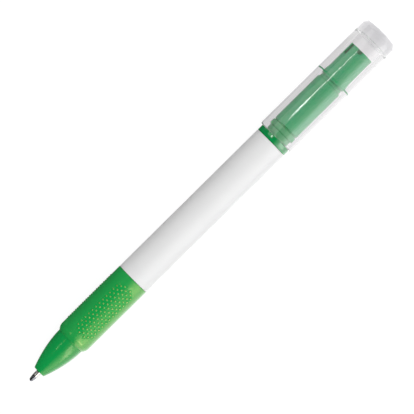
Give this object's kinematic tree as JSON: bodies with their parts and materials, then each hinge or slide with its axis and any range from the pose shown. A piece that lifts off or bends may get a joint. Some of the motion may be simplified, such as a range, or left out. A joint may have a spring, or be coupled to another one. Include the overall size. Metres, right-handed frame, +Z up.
{
  "type": "ballpoint pen with highlighter",
  "caption": "Twist-action ballpoint pen with a domed rubber grip and a chisel highlighter under a clear pull-off cap on its other end.",
  "frame": {"origin": "middle of the bounding box's bottom, on the surface that the pen lies on", "axes": "+X along the pen from the writing tip to the cap end, +Z up, +Y to the left seen from the tip"},
  "size_m": [0.15, 0.0126, 0.0127],
  "materials": {
    "carbide": "polished",
    "nickel_silver": "turned and polished",
    "natural_plastic": "extruded, translucent",
    "pen_ink": "wet",
    "acetal": "moulded",
    "green_abs": "moulded, glossy",
    "green_rubber": "moulded, matte",
    "white_abs": "moulded, satin",
    "spring_steel": "drawn",
    "black_rubber": "moulded",
    "clear_green": "moulded, translucent",
    "inked_fibre": "felted fibre soaked with ink",
    "clear_plastic": "moulded, clear and polished"
  },
  "bodies": {
    "writing_half": {"nose_cone": "green_abs", "rubber_grip": "green_rubber", "barrel": "white_abs", "return_spring": "spring_steel", "guide_sleeve": "acetal", "rear_bush": "acetal"},
    "refill": {"ballpoint_tip": "nickel_silver", "refill_tube": "natural_plastic", "ink_column": "pen_ink", "refill_plug": "acetal", "cam_follower": "acetal"},
    "ball": {"writing_ball": "carbide"},
    "highlighter_half": {"cam_drum": "acetal", "friction_ring": "black_rubber", "highlighter_holder": "clear_green", "nib_section": "clear_green", "ink_reservoir": "inked_fibre", "highlighter_nib": "inked_fibre"},
    "cap": {"cap": "clear_plastic", "inner_cap": "clear_green"}
  },
  "joints": [
    {"name": "twist", "type": "hinge", "parent": "writing_half", "child": "highlighter_half", "pos_m": [0.0275, 0, 0.00633], "axis": [1, 0, 0], "range_deg": [0, 150]},
    {"name": "refill_slide", "type": "slide", "parent": "writing_half", "child": "refill", "axis": [1, 0, 0], "range_m": [0, 0.0055], "deforming": ["return_spring"]},
    {"name": "ball_roll", "type": "hinge", "parent": "refill", "child": "ball", "pos_m": [-0.0745, 0, 0.00633], "axis": [0, 1, 0], "continuous": true},
    {"name": "cap_pull", "type": "slide", "parent": "highlighter_half", "child": "cap", "axis": [1, 0, 0], "range_m": [0, 0.04]}
  ],
  "couplings": [
    {"joint": "refill_slide", "follows": "twist", "m_per_rad": 0.0021}
  ]
}
